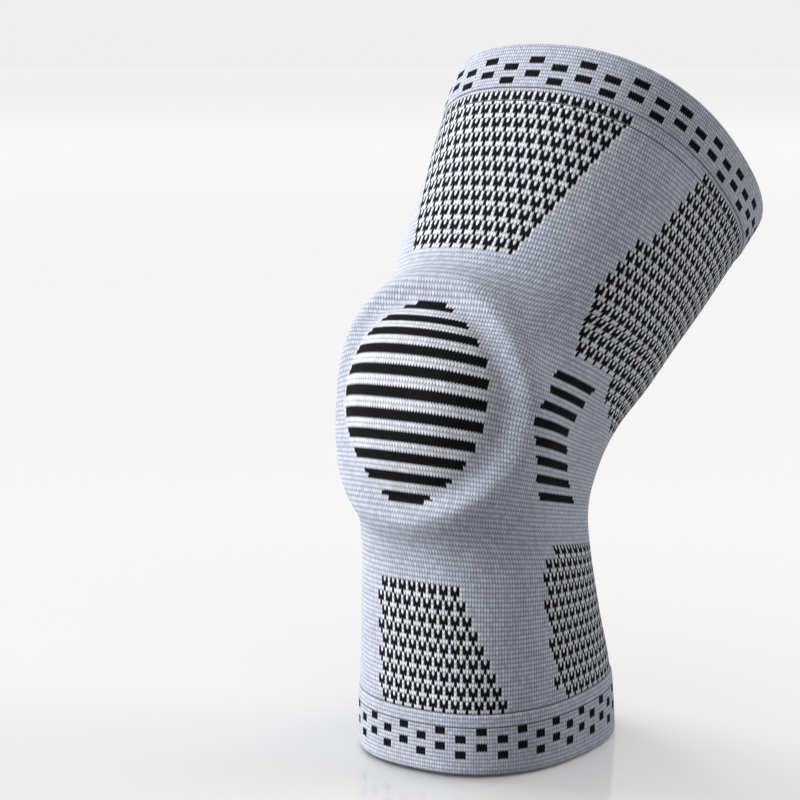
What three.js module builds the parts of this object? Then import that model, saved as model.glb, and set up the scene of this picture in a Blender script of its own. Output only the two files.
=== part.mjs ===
// Knitted knee sleeve in the shape of a bent leg: a hollow tube of 3-D knit, a turned cuff at each
// end, and an oval gel ring under the knit round the kneecap.
// Millimetres, +Z up, the kneecap faces -Y. The origin is the middle of the hollow at the knee.
import * as THREE from "three";

// Sizes that can each be set by themselves
const sleeveLength = 294; // rim to rim along the middle of the hollow
const kneeBend = 50; // degrees between the shin's lean and the thigh's
const leg = {
  shin: { width: 98, depth: 120 }, // outside the knit, side to side and front to back
  knee: { width: 104, depth: 110 },
  thigh: { width: 136, depth: 162 },
};
const squareness = 2.4; // exponent of the sections: 2 is an ellipse
const wall = 2; // the knitted tube
const cuffWall = 2.8; // the cuffs' double knit
const cuffProud = 0.8; // how far the cuffs stand out of the tube
const shinCuffHeight = 28;
const thighCuffHeight = 21;
const kneecapAt = 140; // middle of the kneecap, from the shin rim
const kneecapRise = 18; // how far the padded kneecap lifts the knit
const riseFade = 0.25; // share of the knee's depth over which that rise fades towards the sides
const ringWidth = 79; // gel ring, crest to crest
const ringHeight = 96;
const ringBand = 13; // width of the ring's band
const ringThickness = 7;
const clearance = 0.3; // between the tube and its cuffs
const ringClearance = 1.4; // between the gel ring and the knit over it

// Sections along the sleeve. Leans are shares of kneeBend: the path's own, and the section's.
// Widths and depths are shares of that stretch's leg sizes.
const sections = [
  { along: 0, of: "shin", path: -0.07, tilt: 0.01, width: 1, depth: 1 },
  { along: 0.1, of: "shin", path: -0.13, tilt: -0.04, width: 1.01, depth: 0.94 },
  { along: 0.2, of: "shin", path: -0.16, tilt: 0.03, width: 0.96, depth: 0.88 },
  { along: 0.3, of: "shin", path: -0.09, tilt: 0.15, width: 0.93, depth: 0.83 },
  { along: 0.38, of: "knee", path: 0.1, tilt: 0.25, width: 0.87, depth: 0.87 },
  { along: 0.45, of: "knee", path: 0.35, tilt: 0.34, width: 0.92, depth: 0.93 },
  { along: 0.52, of: "knee", path: 0.66, tilt: 0.43, width: 0.98, depth: 1.02 },
  { along: 0.6, of: "knee", path: 0.9, tilt: 0.51, width: 1.06, depth: 1.12 },
  { along: 0.7, of: "thigh", path: 0.89, tilt: 0.56, width: 0.85, depth: 0.83 },
  { along: 0.8, of: "thigh", path: 0.86, tilt: 0.62, width: 0.9, depth: 0.89 },
  { along: 0.9, of: "thigh", path: 0.85, tilt: 0.69, width: 0.95, depth: 0.95 },
  { along: 1, of: "thigh", path: 0.85, tilt: 0.73, width: 1, depth: 1 },
];

// How high the knit stands over the kneecap: reach is 1 on the ring's crest, rise a share of kneecapRise.
const kneecapRows = [
  { reach: 0, rise: 1 },
  { reach: 0.4, rise: 0.97 },
  { reach: 0.7, rise: 0.76 },
  { reach: 0.86, rise: 0.64 },
  { reach: 1, rise: 0.67 },
  { reach: 1.1, rise: 0.54 },
  { reach: 1.2, rise: 0.32 },
  { reach: 1.35, rise: 0.1 },
  { reach: 1.55, rise: 0 },
];

// Outline of a cuff's wall: height as a share of the cuff from its rim, depth as a share of its wall.
const cuffOutline = [
  { height: 0, depth: 0.5 },
  { height: 0.03, depth: 0.12 },
  { height: 0.12, depth: 0 },
  { height: 0.5, depth: 0 },
  { height: 0.92, depth: 0 },
  { height: 1, depth: 0.2 },
  { height: 1, depth: 1 },
  { height: 0.5, depth: 1 },
  { height: 0.03, depth: 0.95 },
];

// Section of the gel ring: out is a share of half its band, depth a share of its thickness.
const ringOutline = [
  { out: -0.7, depth: 0.9 },
  { out: 0, depth: 1 },
  { out: 0.7, depth: 0.98 },
  { out: 0.95, depth: 0.72 },
  { out: 0.6, depth: 0.35 },
  { out: -0.1, depth: 0 },
  { out: -0.7, depth: 0.2 },
  { out: -1, depth: 0.58 },
];

// Fineness of the meshes
const facetsAround = 58;
const facetsAlong = 38;
const kneeFineness = 0.25; // share by which the rows lie closer at the knee
const facetsRoundRing = 44;
const pathSteps = 200;
const halvings = 30;
const nudge = 1e-3; // step that finds the way into the knit

// A smooth curve through one column of a table.
function valueAt(rows, key, column, place) {
  const lastSpan = rows.length - 2;
  let span = 0;
  while (span < lastSpan && place > rows[span + 1][key]) span += 1;
  const slopeAt = (index) => {
    const before = rows[Math.max(index - 1, 0)];
    const after = rows[Math.min(index + 1, rows.length - 1)];
    return (after[column] - before[column]) / (after[key] - before[key]);
  };
  const start = rows[span];
  const end = rows[span + 1];
  const length = end[key] - start[key];
  const t = (place - start[key]) / length;
  const startWeight = (1 + 2 * t) * (1 - t) ** 2;
  const endWeight = t ** 2 * (3 - 2 * t);
  const bow = slopeAt(span) * t * (1 - t) ** 2 + slopeAt(span + 1) * t ** 2 * (t - 1);
  return start[column] * startWeight + end[column] * endWeight + bow * length;
}

// The table in real sizes: leans in radians, widths and depths in millimetres.
const rows = sections.map((row) => ({
  along: row.along,
  path: THREE.MathUtils.degToRad(row.path * kneeBend),
  tilt: THREE.MathUtils.degToRad(row.tilt * kneeBend),
  halfWidth: (row.width * leg[row.of].width) / 2,
  halfDepth: (row.depth * leg[row.of].depth) / 2,
}));
const sizeAt = (place, column) => valueAt(rows, "along", column, place);

// The middle of the hollow, walked up from the shin rim in short steps and then moved to the knee.
const kneecapPlace = kneecapAt / sleeveLength;
const path = [new THREE.Vector2(0, 0)];
for (let i = 0; i < pathSteps; i += 1) {
  const lean = sizeAt((i + 0.5) / pathSteps, "path");
  const step = new THREE.Vector2(Math.sin(lean), Math.cos(lean));
  path.push(path[i].clone().addScaledVector(step, sleeveLength / pathSteps));
}
function pathPoint(place) {
  const at = THREE.MathUtils.clamp(place, 0, 1) * pathSteps;
  const before = Math.min(Math.floor(at), pathSteps - 1);
  return path[before].clone().lerp(path[before + 1], at - before);
}
const kneeMiddle = pathPoint(kneecapPlace);

// One section's plane: its middle, the way to the kneecap's side in it, and half its sizes.
function sectionAt(place) {
  const middle = pathPoint(place).sub(kneeMiddle);
  const tilt = sizeAt(place, "tilt");
  return {
    middle: new THREE.Vector3(0, middle.x, middle.y),
    forward: new THREE.Vector3(0, -Math.cos(tilt), Math.sin(tilt)),
    halfWidth: sizeAt(place, "halfWidth"),
    halfDepth: sizeAt(place, "halfDepth"),
  };
}

const signedPower = (value, power) => Math.sign(value) * Math.abs(value) ** power;

// A point of the bare leg form, before the kneecap's rise, and the way out of it in its section.
function formPoint(place, angle) {
  const { middle, forward, halfWidth, halfDepth } = sectionAt(place);
  const across = halfWidth * signedPower(Math.sin(angle), 2 / squareness);
  const ahead = halfDepth * signedPower(Math.cos(angle), 2 / squareness);
  const outAcross = across / halfWidth ** 2;
  const outAhead = ahead / halfDepth ** 2;
  const point = middle.clone().addScaledVector(forward, ahead);
  point.x = across;
  const out = forward.clone().multiplyScalar(outAhead);
  out.x = outAcross;
  return { point, out: out.normalize(), ahead };
}

// The kneecap's own axes: its middle on the bare form, and the way up along it.
const kneecapMiddle = formPoint(kneecapPlace, 0).point;
const kneecapForward = sectionAt(kneecapPlace).forward;
const kneecapUp = new THREE.Vector3(0, kneecapForward.z, -kneecapForward.y);
const heightOnKneecap = (point) => point.clone().sub(kneecapMiddle).dot(kneecapUp);

// The rise fades out over the front part of the section, so none is left where the sides turn back.
function riseAt(point, ahead) {
  const reach = Math.hypot((2 * point.x) / ringWidth, (2 * heightOnKneecap(point)) / ringHeight);
  const farthest = kneecapRows[kneecapRows.length - 1].reach;
  if (reach >= farthest) return 0;
  const fade = THREE.MathUtils.smoothstep(ahead, 0, riseFade * leg.knee.depth);
  return kneecapRise * fade * valueAt(kneecapRows, "reach", "rise", reach);
}

// A point of the knit's outer face.
function knitPoint(place, angle) {
  const { point, out, ahead } = formPoint(place, angle);
  return point.addScaledVector(out, riseAt(point, ahead));
}

// A point inset by so much under that face, straight into it.
function sleevePoint(place, angle, inset) {
  const along = knitPoint(place + nudge, angle).sub(knitPoint(place - nudge, angle));
  const round = knitPoint(place, angle + nudge).sub(knitPoint(place, angle - nudge));
  const inwards = along.cross(round).normalize();
  return knitPoint(place, angle).addScaledVector(inwards, inset);
}

// A closed skin over rows of points, each row a ring, the last row joined to the first.
function closedSkin(rings) {
  const around = rings[0].length;
  const faces = [];
  rings.forEach((ring, row) => {
    const nextRow = (row + 1) % rings.length;
    ring.forEach((point, i) => {
      const next = (i + 1) % around;
      const a = row * around + i;
      const b = row * around + next;
      const c = nextRow * around + next;
      const d = nextRow * around + i;
      faces.push(a, b, c, a, c, d);
    });
  });
  const geometry = new THREE.BufferGeometry().setFromPoints(rings.flat());
  geometry.setIndex(faces);
  geometry.computeVertexNormals();
  return geometry;
}

// A wall round the leg from the stations of its outline, outer face going up and inner face coming down.
function wallSkin(stations) {
  const rings = stations.map(({ place, inset }) =>
    Array.from({ length: facetsAround }, (_, i) =>
      sleevePoint(place, (2 * Math.PI * i) / facetsAround, inset),
    ),
  );
  return closedSkin(rings);
}

function bodyStations() {
  const low = (shinCuffHeight + clearance) / sleeveLength;
  const high = 1 - (thighCuffHeight + clearance) / sleeveLength;
  const places = Array.from({ length: facetsAlong + 1 }, (_, i) => {
    const share = i / facetsAlong;
    const nearer = (kneeFineness * Math.sin(2 * Math.PI * share)) / (2 * Math.PI);
    return THREE.MathUtils.lerp(low, high, share + nearer);
  });
  const outer = places.map((place) => ({ place, inset: 0 }));
  const inner = places.map((place) => ({ place, inset: wall })).reverse();
  return [...outer, ...inner];
}

function cuffStations(height, fromTop) {
  const stations = cuffOutline.map((row) => {
    const up = (row.height * height) / sleeveLength;
    return { place: fromTop ? 1 - up : up, inset: row.depth * cuffWall - cuffProud };
  });
  return fromTop ? stations.reverse() : stations;
}

// The place along the sleeve where a line at this distance across reaches this height on the kneecap.
function placeOnKneecap(across, height) {
  let low = 0;
  let high = 1;
  for (let i = 0; i < halvings; i += 1) {
    const place = (low + high) / 2;
    const { point } = formPoint(place, angleOf(across, place));
    if (heightOnKneecap(point) < height) low = place;
    else high = place;
  }
  return (low + high) / 2;
}

function angleOf(across, place) {
  const share = Math.min(Math.abs(across) / sizeAt(place, "halfWidth"), 1);
  return Math.sign(across) * Math.asin(share ** (squareness / 2));
}

function gelRingSkin() {
  const rings = Array.from({ length: facetsRoundRing }, (_, i) => {
    const turn = (2 * Math.PI * i) / facetsRoundRing;
    return ringOutline.map(({ out, depth }) => {
      const beyond = (out * ringBand) / 2;
      const across = (ringWidth / 2 + beyond) * Math.sin(turn);
      const place = placeOnKneecap(across, (ringHeight / 2 + beyond) * Math.cos(turn));
      const angle = angleOf(across, place);
      const underKnit = sleevePoint(place, angle, wall + ringClearance);
      return underKnit.addScaledVector(formPoint(place, angle).out, -depth * ringThickness);
    });
  });
  return closedSkin(rings);
}

const knit = { roughness: 0.9, metalness: 0 };
const pieces = [
  ["sleeve_body", wallSkin(bodyStations()), { color: 0xaab2bf, ...knit }],
  ["top_cuff", wallSkin(cuffStations(thighCuffHeight, true)), { color: 0xa3acba, ...knit }],
  ["bottom_cuff", wallSkin(cuffStations(shinCuffHeight, false)), { color: 0xa3acba, ...knit }],
  ["patella_pad", gelRingSkin(), { color: 0xc9ced6, roughness: 0.5, metalness: 0 }],
];

const sleeve = new THREE.Group();
pieces.forEach(([name, geometry, look]) => {
  const mesh = new THREE.Mesh(geometry, new THREE.MeshStandardMaterial(look));
  mesh.name = name;
  sleeve.add(mesh);
});

export default sleeve;
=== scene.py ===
# Knitted knee sleeve in the shape of a bent leg: the tube, its two turned cuffs and the gel ring
# under the knit. Metres, +Z up, the kneecap faces -Y.
import math

import bmesh
import bpy
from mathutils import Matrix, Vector, noise


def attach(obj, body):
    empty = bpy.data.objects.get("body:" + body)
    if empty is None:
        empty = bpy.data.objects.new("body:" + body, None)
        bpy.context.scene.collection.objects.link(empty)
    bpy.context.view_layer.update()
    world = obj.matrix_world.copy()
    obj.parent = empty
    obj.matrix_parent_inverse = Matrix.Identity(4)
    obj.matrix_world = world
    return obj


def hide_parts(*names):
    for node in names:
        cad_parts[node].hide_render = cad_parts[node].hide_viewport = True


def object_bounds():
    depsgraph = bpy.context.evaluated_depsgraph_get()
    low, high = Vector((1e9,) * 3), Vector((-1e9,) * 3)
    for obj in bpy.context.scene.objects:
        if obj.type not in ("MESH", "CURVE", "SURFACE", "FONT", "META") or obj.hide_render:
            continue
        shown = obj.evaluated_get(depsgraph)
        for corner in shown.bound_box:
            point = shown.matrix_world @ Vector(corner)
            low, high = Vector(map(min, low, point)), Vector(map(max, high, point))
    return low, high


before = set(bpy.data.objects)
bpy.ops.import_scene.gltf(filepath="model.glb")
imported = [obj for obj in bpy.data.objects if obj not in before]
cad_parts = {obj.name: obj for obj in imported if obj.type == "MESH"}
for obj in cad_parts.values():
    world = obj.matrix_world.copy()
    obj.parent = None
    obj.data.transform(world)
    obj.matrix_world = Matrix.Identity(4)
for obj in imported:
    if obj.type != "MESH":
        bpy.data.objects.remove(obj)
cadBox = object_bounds()
mm = 0.001

# Camera, at the photograph's angle

view = {
    "place": (0.5102, -0.7794, 0.1521),
    "turn": 35.49,  # degrees round from the front
    "lookDown": 8.62,
    "lens": 98.5,  # millimetres, as is the sensor
    "sensor": 36,
    "nearest": 0.05,
}


def addCamera():
    data = bpy.data.cameras.new("camera")
    data.lens = view["lens"]
    data.sensor_width = view["sensor"]
    data.clip_start = view["nearest"]
    camera = bpy.data.objects.new("camera", data)
    camera.location = view["place"]
    camera.rotation_euler = (math.radians(90 - view["lookDown"]), 0, math.radians(view["turn"]))
    bpy.context.scene.collection.objects.link(camera)
    bpy.context.scene.camera = camera


addCamera()
print("camera in place")

# The bent leg that the knit follows, with the solids' sizes and a crisper relief over the kneecap

legForm = {
    "sleeveLength": 294 * mm,  # rim to rim along the middle of the hollow
    "kneeBend": math.radians(50),
    "squareness": 2.4,  # exponent of the sections, 2 is an ellipse
    "leg": {
        "shin": {"width": 98 * mm, "depth": 120 * mm},
        "knee": {"width": 104 * mm, "depth": 110 * mm},
        "thigh": {"width": 136 * mm, "depth": 162 * mm},
    },
    "kneecapAt": 140 * mm,  # from the shin rim
    "kneecapRise": 18 * mm,
    "riseFade": 0.25,  # share of the knee's depth over which the rise fades towards the sides
    "ringWidth": 79 * mm,  # gel ring, crest to crest
    "ringHeight": 96 * mm,
    "pathSteps": 200,
    # leans are shares of kneeBend, widths and depths shares of that stretch's leg sizes
    "sections": [
        {"along": 0, "of": "shin", "path": -0.07, "tilt": 0.01, "width": 1, "depth": 1},
        {"along": 0.1, "of": "shin", "path": -0.13, "tilt": -0.04, "width": 1.01, "depth": 0.94},
        {"along": 0.2, "of": "shin", "path": -0.16, "tilt": 0.03, "width": 0.96, "depth": 0.88},
        {"along": 0.3, "of": "shin", "path": -0.09, "tilt": 0.15, "width": 0.93, "depth": 0.83},
        {"along": 0.38, "of": "knee", "path": 0.1, "tilt": 0.25, "width": 0.87, "depth": 0.87},
        {"along": 0.45, "of": "knee", "path": 0.35, "tilt": 0.34, "width": 0.92, "depth": 0.93},
        {"along": 0.52, "of": "knee", "path": 0.66, "tilt": 0.43, "width": 0.98, "depth": 1.02},
        {"along": 0.6, "of": "knee", "path": 0.9, "tilt": 0.51, "width": 1.06, "depth": 1.12},
        {"along": 0.7, "of": "thigh", "path": 0.89, "tilt": 0.56, "width": 0.85, "depth": 0.83},
        {"along": 0.8, "of": "thigh", "path": 0.86, "tilt": 0.62, "width": 0.9, "depth": 0.89},
        {"along": 0.9, "of": "thigh", "path": 0.85, "tilt": 0.69, "width": 0.95, "depth": 0.95},
        {"along": 1, "of": "thigh", "path": 0.85, "tilt": 0.73, "width": 1, "depth": 1},
    ],
    # reach is 1 on the ring's crest, rise a share of kneecapRise
    "kneecapRows": [
        {"reach": 0, "rise": 1},
        {"reach": 0.4, "rise": 0.96},
        {"reach": 0.7, "rise": 0.71},
        {"reach": 0.84, "rise": 0.53},
        {"reach": 1, "rise": 0.7},
        {"reach": 1.1, "rise": 0.56},
        {"reach": 1.2, "rise": 0.31},
        {"reach": 1.35, "rise": 0.1},
        {"reach": 1.55, "rise": 0},
    ],
}


def curveAt(rows, key, column, at):
    # a smooth curve through one column of a table
    lastSpan = len(rows) - 2
    span = 0
    while span < lastSpan and at > rows[span + 1][key]:
        span += 1

    def slopeAt(index):
        before = rows[max(index - 1, 0)]
        after = rows[min(index + 1, len(rows) - 1)]
        return (after[column] - before[column]) / (after[key] - before[key])

    start, end = rows[span], rows[span + 1]
    length = end[key] - start[key]
    t = (at - start[key]) / length
    bow = slopeAt(span) * t * (1 - t) ** 2 + slopeAt(span + 1) * t ** 2 * (t - 1)
    return start[column] * (1 + 2 * t) * (1 - t) ** 2 + end[column] * t ** 2 * (3 - 2 * t) + bow * length


def realSections():
    rows = []
    for row in legForm["sections"]:
        size = legForm["leg"][row["of"]]
        rows.append({
            "along": row["along"],
            "path": row["path"] * legForm["kneeBend"],
            "tilt": row["tilt"] * legForm["kneeBend"],
            "halfWidth": row["width"] * size["width"] / 2,
            "halfDepth": row["depth"] * size["depth"] / 2,
        })
    return rows


sectionRows = realSections()


def walkPath():
    # the middle of the hollow as (y, z), walked up from the shin rim and then moved to the knee
    steps = legForm["pathSteps"]
    stride = legForm["sleeveLength"] / steps
    points = [Vector((0, 0))]
    for i in range(steps):
        lean = curveAt(sectionRows, "along", "path", (i + 0.5) / steps)
        points.append(points[i] + Vector((math.sin(lean), math.cos(lean))) * stride)
    kneeMiddle = pathPoint(points, legForm["kneecapAt"] / legForm["sleeveLength"])
    return [point - kneeMiddle for point in points]


def pathPoint(points, place):
    at = min(max(place, 0), 1) * (len(points) - 1)
    before = min(int(at), len(points) - 2)
    return points[before].lerp(points[before + 1], at - before)


path = walkPath()


def sectionAt(place):
    middle = pathPoint(path, place)
    tilt = curveAt(sectionRows, "along", "tilt", place)
    return {
        "middle": Vector((0, middle.x, middle.y)),
        "forward": Vector((0, -math.cos(tilt), math.sin(tilt))),
        "halfWidth": curveAt(sectionRows, "along", "halfWidth", place),
        "halfDepth": curveAt(sectionRows, "along", "halfDepth", place),
    }


def signedPower(value, power):
    return math.copysign(abs(value) ** power, value)


def formPoint(section, angle):
    # a point of the bare leg form, the way out of it, and how far ahead of the middle it is
    power = 2 / legForm["squareness"]
    across = section["halfWidth"] * signedPower(math.sin(angle), power)
    ahead = section["halfDepth"] * signedPower(math.cos(angle), power)
    point = section["middle"] + section["forward"] * ahead
    point.x = across
    out = section["forward"] * (ahead / section["halfDepth"] ** 2)
    out.x = across / section["halfWidth"] ** 2
    return point, out.normalized(), ahead


kneecapSection = sectionAt(legForm["kneecapAt"] / legForm["sleeveLength"])
kneecapMiddle = formPoint(kneecapSection, 0)[0]
kneecapUp = Vector((0, kneecapSection["forward"].z, -kneecapSection["forward"].y))


def riseAt(point, ahead):
    high = (point - kneecapMiddle).dot(kneecapUp)
    reach = math.hypot(2 * point.x / legForm["ringWidth"], 2 * high / legForm["ringHeight"])
    rows = legForm["kneecapRows"]
    if reach >= rows[-1]["reach"]:
        return 0
    fade = min(max(ahead / (legForm["riseFade"] * legForm["leg"]["knee"]["depth"]), 0), 1)
    fade = fade * fade * (3 - 2 * fade)
    return legForm["kneecapRise"] * fade * curveAt(rows, "reach", "rise", reach)


def knitPoint(section, angle):
    # a point of the knit's outer face, and the way out of it
    point, out, ahead = formPoint(section, angle)
    return point + out * riseAt(point, ahead), out


# Courses are counted up from the shin rim. The gel ring spreads them apart over the kneecap.
courseRows = [
    {"place": 0, "front": 0, "side": 0},
    {"place": 0.095, "front": 15, "side": 15},
    {"place": 0.26, "front": 42, "side": 42},
    {"place": 0.361, "front": 58, "side": 58.2},
    {"place": 0.4055, "front": 66, "side": 66.3},
    {"place": 0.45, "front": 74, "side": 74.4},
    {"place": 0.4986, "front": 82, "side": 83.2},
    {"place": 0.5453, "front": 90, "side": 91.5},
    {"place": 0.5828, "front": 98, "side": 96.7},
    {"place": 0.69, "front": 111, "side": 111},
    {"place": 0.928, "front": 144, "side": 144},
    {"place": 1, "front": 157, "side": 157},
]
courseSpan = 160  # courses in the whole height of the UV map
girthSpan = 600 * mm  # knit in the whole width of the tube's UV map
kneecapSpread = {"from": 42 * mm, "to": 62 * mm}  # from the front line, where the spread ends


def courseAt(place, arc):
    spread = kneecapSpread["to"] - kneecapSpread["from"]
    share = min(max((abs(arc) - kneecapSpread["from"]) / spread, 0), 1)
    share = share * share * (3 - 2 * share)
    front, side = (curveAt(courseRows, "place", column, place) for column in ("front", "side"))
    return front + (side - front) * share


# Meshes

weldDistance = 1e-6  # metres between two points of a seam that are one


def gridMesh(name, around, along, placeAt, uvAt, closed=False):
    # a grid wrapped into a tube: placeAt gives each station's points round it, uvAt their map
    mesh = bpy.data.meshes.new(name)
    bm = bmesh.new()
    bm.loops.layers.uv.new("knit")
    bmesh.ops.create_grid(bm, x_segments=around, y_segments=along, size=0.5)
    bm.verts.ensure_lookup_table()
    stations = {}
    for vert in bm.verts:
        row = round((vert.co.y + 0.5) * along)
        column = round((vert.co.x + 0.5) * around)
        stations.setdefault(row, {})[column] = vert
    maps = {}
    for row, columns in stations.items():
        angles = [2 * math.pi * (column / around - 0.5) for column in range(around + 1)]
        points = placeAt(row / along, angles)
        lengths = [0.0]
        for before, after in zip(points, points[1:]):
            lengths.append(lengths[-1] + (after - before).length)
        front = lengths[around // 2]
        for column, vert in columns.items():
            vert.co = points[column]
            maps[vert.index] = uvAt(row / along, lengths[column] - front, lengths[-1])
    layer = bm.loops.layers.uv["knit"]
    for face in bm.faces:
        face.smooth = True
        for loop in face.loops:
            loop[layer].uv = maps[loop.vert.index]
    seam = [columns[column] for columns in stations.values() for column in (0, around)]
    if closed:
        seam += [vert for row in (0, along) for vert in stations[row].values()]
    bmesh.ops.remove_doubles(bm, verts=list(set(seam)), dist=weldDistance)
    if closed:
        bmesh.ops.recalc_face_normals(bm, faces=bm.faces)
    return mesh, bm


def finishMesh(mesh, bm, name):
    bm.to_mesh(mesh)
    bm.free()
    piece = bpy.data.objects.new(name, mesh)
    bpy.context.scene.collection.objects.link(piece)
    return piece


# Node trees

def linear(colour):
    # sRGB hex to linear
    parts = [int(colour[i:i + 2], 16) / 255 for i in (1, 3, 5)]
    return [c / 12.92 if c <= 0.04045 else ((c + 0.055) / 1.055) ** 2.4 for c in parts] + [1]


def put(tree, kind, inputs=None, **settings):
    # adds a node with its settings and links, and gives back its first output
    node = tree.nodes.new("ShaderNode" + kind)
    for name, value in settings.items():
        setattr(node, name, value)
    for key, value in (inputs or {}).items():
        if isinstance(value, bpy.types.NodeSocket):
            tree.links.new(value, node.inputs[key])
        else:
            node.inputs[key].default_value = value
    return node.outputs[0] if node.outputs else node


def drawCurve(socket, points):
    # sets a Float Curve to straight runs through these points
    curve = socket.node.mapping.curves[0]
    while len(curve.points) < len(points):
        curve.points.new(0.5, 0.5)
    for point, place in zip(curve.points, points):
        point.location = place
        point.handle_type = "VECTOR"
    socket.node.mapping.update()


def newMaterial(name):
    material = bpy.data.materials.new(name)
    material.use_nodes = True
    material.node_tree.nodes.clear()
    return material, material.node_tree


yarn = {
    "heather": "#a6abb8",  # plain knit, blue-grey melange
    "pale": "#babdc5",  # the light yarn between the black motifs
    "black": "#050609",
    "seam": "#3d414b",  # shade in the welt lines
    "paintedHoleShade": 0.1,  # painted shade in the holes between the stitches, how dark it is
    "waleGap": 0.25,  # height between the wales
    "courseGap": 0.35,  # height between the courses
    "split": 0.7,  # how much of a stitch's height its two legs share
    "roughness": 0.78,
    "relief": 0.5 * mm,
    "lean": 0.9,  # how far the two legs of a stitch slant, in courses
    "melange": 0.24,  # how much single stitches differ
    "specular": 0.05,
    "sheen": 0.15,  # on the light yarns, none on the black
    "sheenSpread": 0.4,
    "seamWidth": 0.14,  # half a welt line, in courses
    "seamDepth": 1.5,  # of a welt line, in stitch heights
}


def stitches(tree, wales, courses):
    # one V-shaped stitch per wale and course: its two numbers, its height, and a random share
    inWale = put(tree, "Math", {0: wales}, operation="FRACT")
    off = put(tree, "Math", {0: inWale, 1: 0.5}, operation="SUBTRACT")
    fromMiddle = put(tree, "Math", {0: off}, operation="ABSOLUTE")
    slanted = put(tree, "Math", {0: fromMiddle, 1: -yarn["lean"], 2: courses}, operation="MULTIPLY_ADD")
    wale = put(tree, "Math", {0: wales}, operation="FLOOR")
    course = put(tree, "Math", {0: slanted}, operation="FLOOR")
    inCourse = put(tree, "Math", {0: slanted}, operation="FRACT")
    legWave = put(tree, "Math", {0: fromMiddle, 1: 2 * math.pi}, operation="MULTIPLY")
    dip = put(tree, "Math", {0: legWave}, operation="SINE")  # high on each leg, low between them
    acrossWale = put(tree, "Math", {0: inWale, 1: math.pi}, operation="MULTIPLY")
    hump = put(tree, "Math", {0: acrossWale}, operation="SINE")
    leg = put(tree, "Mix", {"Factor": yarn["split"], "A": dip, "B": hump})
    raisedLeg = put(tree, "MapRange", {"Value": leg, "To Min": yarn["waleGap"], "To Max": 1})
    turn = put(tree, "Math", {0: inCourse, 1: math.pi}, operation="MULTIPLY")
    loop = put(tree, "Math", {0: turn}, operation="SINE")
    raisedLoop = put(tree, "MapRange", {"Value": loop, "To Min": yarn["courseGap"], "To Max": 1})
    height = put(tree, "Math", {0: raisedLeg, 1: raisedLoop}, operation="MULTIPLY")
    spot = put(tree, "CombineXYZ", {0: wale, 1: course})
    chance = put(tree, "TexWhiteNoise", {"Vector": spot}, noise_dimensions="2D")
    return wale, course, height, chance


def between(tree, value, low, high):
    # 1 where value is from low to high
    above = put(tree, "Math", {0: value, 1: low}, operation="GREATER_THAN")
    below = put(tree, "Math", {0: value, 1: high}, operation="LESS_THAN")
    return put(tree, "Math", {0: above, 1: below}, operation="MULTIPLY")


# The houndstooth motif: two prongs, a block of three stitches under them, and one stem.
# Its lines are counted down from its top, its stitches from its left.
motifChart = {
    "wales": 4,
    "courses": 3,
    "step": 2,  # wales that each next row of motifs is moved by
    "prongEvery": 2,
    "blockWales": 3,
    "stemWale": 1,
    "prongLine": 0,
    "blockLine": 1,
    "stemLine": 2,
}


def isAt(tree, value, number):
    # 1 where a whole value is this number
    return put(tree, "Math", {0: value, 1: number, 2: 0.1}, operation="COMPARE")


def houndstooth(tree, wale, course):
    # 1 on the motif's black stitches, and the wale and course of the motif's middle
    wales, courses = motifChart["wales"], motifChart["courses"]
    # on the thigh the motifs are one course lower
    onThigh = put(tree, "Math", {0: course, 1: tube["kneeCourse"]}, operation="GREATER_THAN")
    fromTop = put(tree, "Math", {0: course, 1: -1, 2: -1}, operation="MULTIPLY_ADD")
    down = put(tree, "Math", {0: fromTop, 1: onThigh}, operation="SUBTRACT")
    motifs = put(tree, "Math", {0: down, 1: courses}, operation="DIVIDE")
    motifRow = put(tree, "Math", {0: motifs}, operation="FLOOR")
    line = put(tree, "Math", {0: motifRow, 1: -courses, 2: down}, operation="MULTIPLY_ADD")
    nextWale = put(tree, "Math", {0: wale, 1: 1}, operation="ADD")
    moved = put(tree, "Math", {0: motifRow, 1: motifChart["step"], 2: nextWale}, operation="MULTIPLY_ADD")
    stitch = put(tree, "Math", {0: moved, 1: wales}, operation="FLOORED_MODULO")
    pair = put(tree, "Math", {0: moved, 1: motifChart["prongEvery"]}, operation="FLOORED_MODULO")
    isProng = isAt(tree, pair, 0)
    inProngs = isAt(tree, line, motifChart["prongLine"])
    isBlock = put(tree, "Math", {0: stitch, 1: motifChart["blockWales"] - 0.5}, operation="LESS_THAN")
    inBlock = isAt(tree, line, motifChart["blockLine"])
    isStem = isAt(tree, stitch, motifChart["stemWale"])
    inStem = isAt(tree, line, motifChart["stemLine"])
    prongs = put(tree, "Math", {0: isProng, 1: inProngs}, operation="MULTIPLY")
    block = put(tree, "Math", {0: isBlock, 1: inBlock, 2: prongs}, operation="MULTIPLY_ADD")
    motif = put(tree, "Math", {0: isStem, 1: inStem, 2: block}, operation="MULTIPLY_ADD")
    firstWale = put(tree, "Math", {0: wale, 1: stitch}, operation="SUBTRACT")
    motifWale = put(tree, "Math", {0: firstWale, 1: (wales - 1) / 2}, operation="ADD")
    motifMiddle = put(tree, "Math", {0: motifRow, 1: -courses, 2: -courses / 2}, operation="MULTIPLY_ADD")
    motifCourse = put(tree, "Math", {0: motifMiddle, 1: onThigh}, operation="SUBTRACT")
    return motif, motifWale, motifCourse


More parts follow.
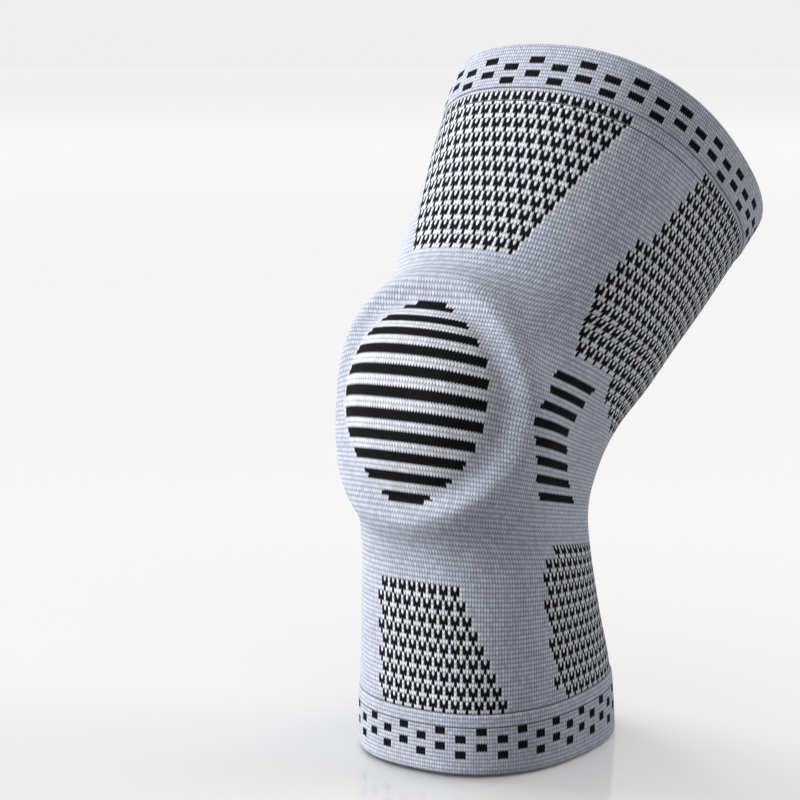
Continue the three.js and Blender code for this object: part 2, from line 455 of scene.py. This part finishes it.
def knitShader(material, tree, height, chance, black, pale, groove):
    # 3-D knit of polyester and elastane: matt, with painted shade in the holes round the legs of the
    # stitches and in the welt lines
    heather, light = linear(yarn["heather"]), linear(yarn["pale"])
    plain = put(tree, "MixRGB", {"Fac": pale, "Color1": heather, "Color2": light})
    share = put(tree, "MapRange", {"Value": chance, "To Min": 1 - yarn["melange"], "To Max": 1})
    melange = put(tree, "MixRGB", {"Fac": 1.0, "Color1": plain, "Color2": share}, blend_type="MULTIPLY")
    dyed = put(tree, "MixRGB", {"Fac": black, "Color1": melange, "Color2": linear(yarn["black"])})
    # painted shade: the yarn colour is darkened where the stitches are low, down in the holes between them
    depth = put(tree, "MapRange", {"Value": height, "To Min": yarn["paintedHoleShade"], "To Max": 1})
    shaded = put(tree, "MixRGB", {"Fac": 1.0, "Color1": dyed, "Color2": depth}, blend_type="MULTIPLY")
    # painted shade in the welt lines: the colour is mixed towards the dark seam grey there
    lined = put(tree, "MixRGB", {"Fac": groove, "Color1": shaded, "Color2": linear(yarn["seam"])})
    sunk = put(tree, "Math", {0: groove, 1: -yarn["seamDepth"], 2: height}, operation="MULTIPLY_ADD")
    normal = put(tree, "Bump", {"Height": sunk, "Distance": yarn["relief"], "Strength": 1.0})
    fuzz = put(tree, "MapRange", {"Value": black, "To Min": yarn["sheen"], "To Max": 0.0})
    cloth = put(tree, "BsdfPrincipled", {
        "Base Color": lined,
        "Roughness": yarn["roughness"],
        "Specular IOR Level": yarn["specular"],
        "Sheen Weight": fuzz,
        "Sheen Roughness": yarn["sheenSpread"],
        "Normal": normal,
    })
    put(tree, "OutputMaterial", {"Surface": cloth})
    return material


# The tube

tube = {
    "around": 280,
    "along": 164,
    "wall": 2 * mm,
    "clearance": 0.3 * mm,  # to the cuffs
    "walePitch": [(0, 1.24), (56, 1.24), (84, 1.41), (160, 1.41)],  # millimetres at a course
    "waveHeight": 0.35 * mm,  # unevenness of the worn knit
    "waveLength": 28 * mm,
    "waveFade": 0.1,  # share of the tube over which the waves fade towards each cuff
    "sideSpan": 250,  # millimetres from the front line in the whole height of an edge's curve
    "pitchSpan": 2,  # millimetres of pitch in the whole height of its curve
    "seamCourse": 141,  # welt line under the thigh cuff
    "kneeCourse": 78,
    "paleFade": 7,  # millimetres on both sides of the stripes' ends, from light yarn to heather
    "bandEvery": 4,  # courses from one bar or stripe to the next
    "bandTall": 2,  # courses
    # courses from and to, and edges in millimetres of knit from the front line
    "thighBlock": {
        "from": 109, "to": 144,
        "left": [(109, 29), (144, 60)],
        "right": [(109, 23.8), (144, 56.7)],
    },
    "shinBlock": {
        "from": 15, "to": 42,
        "left": [(15, 18.5), (42, 18.5)],
        "right": [(15, 44), (42, 21.7)],
    },
    "thighSide": {
        "from": 84, "to": 144,
        "edge": [(84, 125), (90, 110), (95.9, 106), (96.1, 75), (99, 74), (102, 67),
                 (108, 63.5), (111, 66.7), (144, 101)],
        "back": [(84, 150), (100, 172), (144, 196)],
    },
    "shinSide": {
        "from": 15, "to": 51,
        "edge": [(15, 74), (17, 69), (20, 66.8), (28.7, 64.5), (39.5, 62), (44.8, 62.6),
                 (47, 64), (50, 70), (51, 73)],
        "back": [(15, 130), (51, 128)],
    },
    "bars": {
        "from": 61, "to": 91,
        "edge": [(62, 67.2), (66, 63.8), (70, 63.3), (74, 61.7), (78, 60.6), (82, 63.7),
                 (86, 67.6), (90, 70)],
        "back": [(62, 96.7), (66, 94.6), (70, 92.8), (74, 90.3), (78, 87.4), (82, 92.5),
                 (86, 96.1), (90, 97.9)],
    },
    "stripes": {
        "from": 57, "to": 99, "middle": 2.5,
        "half": [(57.5, 9), (58.5, 12), (62, 21), (66, 28), (70, 33.5), (74, 36.5), (78, 38), (82, 37),
                 (86, 34.5), (90, 28), (94, 21), (97.5, 12), (98.5, 7)],
    },
}


def edgeAt(tree, course, points, span=tube["sideSpan"]):
    # how far from the front line an edge runs at this course, or another size in millimetres
    high = put(tree, "Math", {0: course, 1: courseSpan}, operation="DIVIDE")
    share = put(tree, "FloatCurve", {"Value": high})
    drawCurve(share, [(at / courseSpan, size / span) for at, size in points])
    return put(tree, "Math", {0: share, 1: span}, operation="MULTIPLY")


def tubeGrid(tree):
    # the wales' pitch in millimetres, the wales counted from the front line, and the courses
    place = put(tree, "SeparateXYZ", {0: put(tree, "UVMap", uv_map="knit")}).node
    girth = girthSpan / mm
    across = put(tree, "Math", {0: place.outputs["X"], 1: girth, 2: -girth / 2}, operation="MULTIPLY_ADD")
    courses = put(tree, "Math", {0: place.outputs["Y"], 1: courseSpan}, operation="MULTIPLY")
    pitch = edgeAt(tree, courses, tube["walePitch"], tube["pitchSpan"])
    return pitch, put(tree, "Math", {0: across, 1: pitch}, operation="DIVIDE"), courses


def liningMaterial():
    # the tube's inner face, where the knit is plain
    material, tree = newMaterial("plainKnit")
    _, wales, courses = tubeGrid(tree)
    _, _, height, chance = stitches(tree, wales, courses)
    return knitShader(material, tree, height, chance, 0.0, 0.0, 0.0)


def blockZone(tree, motifAcross, motifCourse):
    # 1 where the middle of the motif is inside a houndstooth block
    motifSide = put(tree, "Math", {0: motifAcross}, operation="ABSOLUTE")
    zone = 0.0
    for block in (tube["thighBlock"], tube["shinBlock"]):
        inBlock = between(tree, motifCourse, block["from"], block["to"])
        left = put(tree, "Math", {0: edgeAt(tree, motifCourse, block["left"]), 1: -1}, operation="MULTIPLY")
        right = edgeAt(tree, motifCourse, block["right"])
        inEdges = between(tree, motifAcross, left, right)
        frontZone = put(tree, "Math", {0: inBlock, 1: inEdges}, operation="MULTIPLY")
        zone = put(tree, "Math", {0: zone, 1: frontZone}, operation="MAXIMUM")
    for block in (tube["thighSide"], tube["shinSide"]):
        inBlock = between(tree, motifCourse, block["from"], block["to"])
        edge = edgeAt(tree, motifCourse, block["edge"])
        back = edgeAt(tree, motifCourse, block["back"])
        inEdges = between(tree, motifSide, edge, back)
        sideZone = put(tree, "Math", {0: inBlock, 1: inEdges}, operation="MULTIPLY")
        zone = put(tree, "Math", {0: zone, 1: sideZone}, operation="MAXIMUM")
    return zone


def inBand(tree, course, start):
    # 1 on the first courses of each repeat of bars or stripes, counted up from the start
    fromStart = put(tree, "Math", {0: course, 1: -start}, operation="ADD")
    turn = put(tree, "Math", {0: fromStart, 1: tube["bandEvery"]}, operation="FLOORED_MODULO")
    return put(tree, "Math", {0: turn, 1: tube["bandTall"] - 0.5}, operation="LESS_THAN")


def barStitches(tree, course, stitchAcross, stitchCourse):
    # 1 on the short black bars beside the kneecap
    bars = tube["bars"]
    stitchSide = put(tree, "Math", {0: stitchAcross}, operation="ABSOLUTE")
    inHeight = between(tree, stitchCourse, bars["from"], bars["to"])
    edge = edgeAt(tree, stitchCourse, bars["edge"])
    back = edgeAt(tree, stitchCourse, bars["back"])
    inEdges = between(tree, stitchSide, edge, back)
    zone = put(tree, "Math", {0: inHeight, 1: inEdges}, operation="MULTIPLY")
    return put(tree, "Math", {0: inBand(tree, course, bars["from"]), 1: zone}, operation="MULTIPLY")


def stripeStitches(tree, course, stitchAcross, stitchCourse):
    # 1 on the black stripes over the kneecap, and the share of light yarn round them
    stripes = tube["stripes"]
    inHeight = between(tree, stitchCourse, stripes["from"], stripes["to"])
    fromMiddle = put(tree, "Math", {0: stitchAcross, 1: stripes["middle"]}, operation="SUBTRACT")
    side = put(tree, "Math", {0: fromMiddle}, operation="ABSOLUTE")
    end = edgeAt(tree, stitchCourse, stripes["half"])
    inEnds = put(tree, "Math", {0: side, 1: end}, operation="LESS_THAN")
    zone = put(tree, "Math", {0: inHeight, 1: inEnds}, operation="MULTIPLY")
    black = put(tree, "Math", {0: inBand(tree, course, stripes["from"]), 1: zone}, operation="MULTIPLY")
    pastEnd = put(tree, "Math", {0: side, 1: end}, operation="SUBTRACT")
    fade = put(tree, "MapRange", {
        "Value": pastEnd,
        "From Min": -tube["paleFade"],
        "From Max": tube["paleFade"],
        "To Min": 1.0,
        "To Max": 0.0,
    })
    return black, put(tree, "Math", {0: fade, 1: inHeight}, operation="MULTIPLY")


def tubeMaterial():
    material, tree = newMaterial("jacquardKnit")
    pitch, wales, courses = tubeGrid(tree)
    wale, course, height, chance = stitches(tree, wales, courses)
    motif, motifWale, motifCourse = houndstooth(tree, wale, course)
    motifAcross = put(tree, "Math", {0: motifWale, 1: pitch}, operation="MULTIPLY")
    zone = blockZone(tree, motifAcross, motifCourse)
    black = put(tree, "Math", {0: motif, 1: zone}, operation="MULTIPLY")

    middle = put(tree, "Math", {0: wale, 1: 0.5}, operation="ADD")
    stitchAcross = put(tree, "Math", {0: middle, 1: pitch}, operation="MULTIPLY")
    stitchCourse = put(tree, "Math", {0: course, 1: 0.5}, operation="ADD")
    bars = barStitches(tree, course, stitchAcross, stitchCourse)
    stripes, paleKneecap = stripeStitches(tree, course, stitchAcross, stitchCourse)
    black = put(tree, "Math", {0: black, 1: bars}, operation="MAXIMUM")
    black = put(tree, "Math", {0: black, 1: stripes}, operation="MAXIMUM")
    pale = put(tree, "Math", {0: zone, 1: paleKneecap}, operation="MAXIMUM")
    fromSeam = put(tree, "Math", {0: courses, 1: -tube["seamCourse"]}, operation="ADD")
    groove = between(tree, fromSeam, -yarn["seamWidth"], yarn["seamWidth"])
    return knitShader(material, tree, height, chance, black, pale, groove)


def addTube():
    shin = cuffs["shin"]["height"] + tube["clearance"]
    thigh = cuffs["thigh"]["height"] + tube["clearance"]
    low = shin / legForm["sleeveLength"]
    high = 1 - thigh / legForm["sleeveLength"]

    def placeAt(share, angles):
        section = sectionAt(low + (high - low) * share)
        swell = min(share, 1 - share, tube["waveFade"]) / tube["waveFade"]
        points = []
        for angle in angles:
            point, out = knitPoint(section, angle)
            wave = noise.noise(point / tube["waveLength"]) * swell
            points.append(point + out * wave * tube["waveHeight"])
        return points

    def uvAt(share, arc, _girth):
        course = courseAt(low + (high - low) * share, arc)
        return 0.5 + arc / girthSpan, course / courseSpan

    mesh, bm = gridMesh("kneeTube", tube["around"], tube["along"], placeAt, uvAt)
    piece = finishMesh(mesh, bm, "kneeTube")
    wall = piece.modifiers.new("wall", "SOLIDIFY")
    wall.thickness = tube["wall"]
    wall.offset = -1
    wall.material_offset = 1
    mesh.materials.append(tubeMaterial())
    mesh.materials.append(liningMaterial())
    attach(piece, "root")
    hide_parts("sleeve_body")
    print("tube knitted,", len(mesh.polygons), "faces")
    return piece


# The turned cuffs

cuffs = {
    "wall": 2.8 * mm,
    "proud": 0.8 * mm,  # of the tube's outer face
    "around": 280,
    "fineness": 40,  # stations round the wall's outline
    "courseSpan": 40,  # the rim is in the middle of the UV map, the turned-in layer below it
    "columns": 40,  # of small squares, round the leg
    # wales to a column, the first column's shift as a share of one, and the course of a welt line
    "shin": {"height": 28 * mm, "courses": 15, "wales": 8, "phase": 0.6, "fromTop": False, "line": 12.1},
    "thigh": {"height": 21 * mm, "courses": 13, "wales": 10, "phase": 0.4, "fromTop": True, "line": None},
    "squares": {"from": 4, "to": 12, "tall": 2, "half": 0.26},  # courses, and a share of a column
    # height is a share of the cuff from its rim, depth a share of its wall
    "outline": [
        {"height": 0.04, "depth": 0.12}, {"height": 0.12, "depth": 0}, {"height": 0.5, "depth": 0},
        {"height": 0.9, "depth": 0}, {"height": 0.985, "depth": 0.1}, {"height": 1, "depth": 0.35},
        {"height": 1, "depth": 0.9}, {"height": 0.9, "depth": 1}, {"height": 0.5, "depth": 1},
        {"height": 0.12, "depth": 1}, {"height": 0.03, "depth": 0.9}, {"height": 0, "depth": 0.5},
    ],
}


def cuffOutlineAt(share):
    # a smooth closed curve through the outline's points
    rows = cuffs["outline"]
    at = (share % 1) * len(rows)
    index = int(at) % len(rows)
    t = at - int(at)
    ends = [rows[(index + step) % len(rows)] for step in (-1, 0, 1, 2)]
    found = []
    for column in ("height", "depth"):
        a, b, c, d = [row[column] for row in ends]
        start, end = (c - a) / 2, (d - b) / 2
        found.append(b * (1 + 2 * t) * (1 - t) ** 2 + c * t * t * (3 - 2 * t)
                     + start * t * (1 - t) ** 2 + end * t * t * (t - 1))
    return min(max(found[0], 0), 1), min(max(found[1], 0), 1)


def cuffMaterial(name, cuff):
    material, tree = newMaterial(name)
    place = put(tree, "SeparateXYZ", {0: put(tree, "UVMap", uv_map="knit")}).node
    perGirth = cuffs["columns"] * cuff["wales"]
    wales = put(tree, "Math", {0: place.outputs["X"], 1: perGirth}, operation="MULTIPLY")
    span = cuffs["courseSpan"]
    courses = put(tree, "Math", {0: place.outputs["Y"], 1: span, 2: -span / 2}, operation="MULTIPLY_ADD")
    wale, course, height, chance = stitches(tree, wales, courses)
    shift = 0.5 / cuff["wales"] - cuffs["columns"] / 2 - cuff["phase"]
    column = put(tree, "Math", {0: wale, 1: 1 / cuff["wales"], 2: shift}, operation="MULTIPLY_ADD")
    number = put(tree, "Math", {0: column}, operation="ROUND")
    off = put(tree, "Math", {0: column, 1: number}, operation="SUBTRACT")
    offSize = put(tree, "Math", {0: off}, operation="ABSOLUTE")
    squares = cuffs["squares"]
    wide = put(tree, "Math", {0: offSize, 1: squares["half"]}, operation="LESS_THAN")
    level = put(tree, "Math", {0: course, 1: -squares["from"]}, operation="ADD")
    pair = put(tree, "Math", {0: level, 1: squares["tall"]}, operation="DIVIDE")
    step = put(tree, "Math", {0: pair}, operation="FLOOR")
    stepAndNumber = put(tree, "Math", {0: step, 1: number}, operation="ADD")
    turn = put(tree, "Math", {0: stepAndNumber, 1: 2}, operation="FLOORED_MODULO")  # every other one
    isTurn = put(tree, "Math", {0: turn, 1: 0.5}, operation="LESS_THAN")
    stitchCourse = put(tree, "Math", {0: course, 1: 0.5}, operation="ADD")
    tall = between(tree, stitchCourse, squares["from"], squares["to"])
    square = put(tree, "Math", {0: isTurn, 1: tall}, operation="MULTIPLY")
    black = put(tree, "Math", {0: square, 1: wide}, operation="MULTIPLY")
    groove = 0.0
    if cuff["line"]:
        fromLine = put(tree, "Math", {0: courses, 1: -cuff["line"]}, operation="ADD")
        groove = between(tree, fromLine, -yarn["seamWidth"], yarn["seamWidth"])
    return knitShader(material, tree, height, chance, black, 0.0, groove)


def addCuff(name, node, cuff):
    def placeAt(share, angles):
        height, depth = cuffOutlineAt(share)
        up = height * cuff["height"] / legForm["sleeveLength"]
        section = sectionAt(1 - up if cuff["fromTop"] else up)
        inset = depth * cuffs["wall"] - cuffs["proud"]
        points = []
        for angle in angles:
            point, out = knitPoint(section, angle)
            points.append(point - out * inset)
        return points

    def uvAt(share, arc, girth):
        # the turned-in layer is plain, so its courses are counted down from the rim
        height, depth = cuffOutlineAt(share)
        course = cuff["courses"] * (-height if depth > 0.5 else height)
        return 0.5 + arc / girth, 0.5 + course / cuffs["courseSpan"]

    mesh, bm = gridMesh(name, cuffs["around"], cuffs["fineness"], placeAt, uvAt, closed=True)
    piece = finishMesh(mesh, bm, name)
    mesh.materials.append(cuffMaterial(name + "Knit", cuff))
    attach(piece, "root")
    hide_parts(node)
    print(name, "turned,", len(mesh.polygons), "faces")
    return piece


# The gel ring under the knit

gelRing = {
    "band": 13 * mm,
    "thickness": 7 * mm,
    "clearance": 1.4 * mm,  # to the knit over it
    "around": 120,
    "fineness": 32,
    "searched": (0.2, 0.8),  # stretch of the tube that holds the kneecap
    "halvings": 26,
    "nudge": 1e-3,
    "silicone": "#d5d9df",
    "roughness": 0.38,
    "bend": 1.41,  # index of refraction
    "milkiness": 0.25,
    "milkDepth": 3 * mm,
    "cloudScale": 90.0,
    "cloudDetail": 3.0,
    "cloudTone": (0.9, 1.05),
    "relief": 0.2 * mm,
    "reliefStrength": 0.5,
    # out is a share of half the band, depth a share of the thickness
    "outline": [
        {"out": -1, "depth": 0.58}, {"out": -0.7, "depth": 0.2}, {"out": -0.1, "depth": 0.02},
        {"out": 0.6, "depth": 0.35}, {"out": 0.95, "depth": 0.72}, {"out": 0.7, "depth": 0.96},
        {"out": 0, "depth": 1}, {"out": -0.7, "depth": 0.9},
    ],
}


def angleOf(across, section):
    share = min(abs(across) / section["halfWidth"], 1)
    return math.copysign(math.asin(share ** (legForm["squareness"] / 2)), across)


def placeOnKneecap(across, height):
    # how far along the tube a point this far across and above the kneecap's middle is
    low, high = gelRing["searched"]
    for _ in range(gelRing["halvings"]):
        place = (low + high) / 2
        section = sectionAt(place)
        point = formPoint(section, angleOf(across, section))[0]
        if (point - kneecapMiddle).dot(kneecapUp) < height:
            low = place
        else:
            high = place
    return (low + high) / 2


def inwards(place, angle):
    nudge = gelRing["nudge"]
    above, below = sectionAt(place + nudge), sectionAt(place - nudge)
    section = sectionAt(place)
    along = knitPoint(above, angle)[0] - knitPoint(below, angle)[0]
    around = knitPoint(section, angle + nudge)[0] - knitPoint(section, angle - nudge)[0]
    return along.cross(around).normalized()


def gelMaterial():
    # moulded silicone gel: milky, satin, a little light passes into it
    material, tree = newMaterial("siliconeGel")
    spot = put(tree, "TexCoord").node.outputs["Object"]
    scale, detail = gelRing["cloudScale"], gelRing["cloudDetail"]
    cloud = put(tree, "TexNoise", {"Vector": spot, "Scale": scale, "Detail": detail})
    dark, light = gelRing["cloudTone"]
    tone = put(tree, "MapRange", {"Value": cloud, "To Min": dark, "To Max": light})
    silicone = linear(gelRing["silicone"])
    colour = put(tree, "MixRGB", {"Fac": 1.0, "Color1": silicone, "Color2": tone}, blend_type="MULTIPLY")
    normal = put(tree, "Bump", {
        "Height": cloud,
        "Distance": gelRing["relief"],
        "Strength": gelRing["reliefStrength"],
    })
    gel = put(tree, "BsdfPrincipled", {
        "Base Color": colour,
        "Roughness": gelRing["roughness"],
        "IOR": gelRing["bend"],
        "Subsurface Weight": gelRing["milkiness"],
        "Subsurface Scale": gelRing["milkDepth"],
        "Normal": normal,
    })
    put(tree, "OutputMaterial", {"Surface": gel})
    return material


def addGelRing():
    rows = gelRing["outline"] + gelRing["outline"][:1]
    table = [{"at": i / (len(rows) - 1), **row} for i, row in enumerate(rows)]

    def placeAt(share, angles):
        beyond = curveAt(table, "at", "out", share) * gelRing["band"] / 2
        depth = curveAt(table, "at", "depth", share) * gelRing["thickness"]
        points = []
        for turn in angles:
            across = (legForm["ringWidth"] / 2 + beyond) * math.sin(turn)
            place = placeOnKneecap(across, (legForm["ringHeight"] / 2 + beyond) * math.cos(turn))
            section = sectionAt(place)
            angle = angleOf(across, section)
            point, out = knitPoint(section, angle)
            underKnit = point + inwards(place, angle) * (tube["wall"] + gelRing["clearance"])
            points.append(underKnit - out * depth)
        return points

    def uvAt(share, arc, _girth):
        return 0.5 + arc / girthSpan, share

    mesh, bm = gridMesh("gelRing", gelRing["around"], gelRing["fineness"], placeAt, uvAt, closed=True)
    piece = finishMesh(mesh, bm, "gelRing")
    mesh.materials.append(gelMaterial())
    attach(piece, "root")
    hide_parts("patella_pad")
    print("gel ring moulded,", len(mesh.polygons), "faces")
    return piece


pieces = [
    addTube(),
    addCuff("shinCuff", "bottom_cuff", cuffs["shin"]),
    addCuff("thighCuff", "top_cuff", cuffs["thigh"]),
    addGelRing(),
]

# Floor and soft studio light

studio = {
    "floor": "#d9d9d9",
    "floorRoughness": 0.12,
    "floorSpecular": 0.25,
    "floorSize": 4000,  # as far as the horizon, so that it meets the sky softly
    "sky": "#efefef",
    "lights": [  # turn is degrees to the left of the camera, seen from the sleeve
        {"name": "key", "turn": 84, "high": 20, "softness": 50, "strength": 10.5, "onFloor": False},
        {"name": "rim", "turn": 130, "high": 14, "softness": 60, "strength": 3.5, "onFloor": True},
        {"name": "farRim", "turn": -110, "high": 12, "softness": 60, "strength": 2.7, "onFloor": True},
    ],
}


def addFloor():
    mesh = bpy.data.meshes.new("floor")
    bm = bmesh.new()
    bmesh.ops.create_grid(bm, x_segments=1, y_segments=1, size=studio["floorSize"])
    bmesh.ops.translate(bm, verts=bm.verts, vec=(0, 0, cadBox[0][2]))
    floor = finishMesh(mesh, bm, "floor")
    material, tree = newMaterial("floorPaint")
    # painted studio floor, a little glossy
    paint = put(tree, "BsdfPrincipled", {
        "Base Color": linear(studio["floor"]),
        "Roughness": studio["floorRoughness"],
        "Specular IOR Level": studio["floorSpecular"],
    })
    put(tree, "OutputMaterial", {"Surface": paint})
    mesh.materials.append(material)


def addLights():
    # the key light is flagged off the floor, so the sleeve's shadow there stays soft
    litPieces = bpy.data.collections.new("litPieces")
    for piece in pieces:
        litPieces.objects.link(piece)
    for light in studio["lights"]:
        data = bpy.data.lights.new(light["name"], "SUN")
        data.angle = math.radians(light["softness"])
        data.energy = light["strength"]
        lamp = bpy.data.objects.new(light["name"], data)
        turn, high = math.radians(view["turn"] - light["turn"]), math.radians(light["high"])
        lamp.location = (math.sin(turn) * math.cos(high), -math.cos(turn) * math.cos(high), math.sin(high))
        lamp.rotation_euler = lamp.location.to_track_quat("Z", "Y").to_euler()
        bpy.context.scene.collection.objects.link(lamp)
        lamp.visible_glossy = not light["onFloor"]  # no glare on the floor
        if not light["onFloor"]:
            lamp.light_linking.receiver_collection = litPieces
    world = bpy.data.worlds.new("sky")
    world.use_nodes = True
    world.node_tree.nodes["Background"].inputs["Color"].default_value = linear(studio["sky"])
    bpy.context.scene.world = world
    bpy.context.scene.view_settings.view_transform = "Standard"


addFloor()
addLights()
print("stage lit")
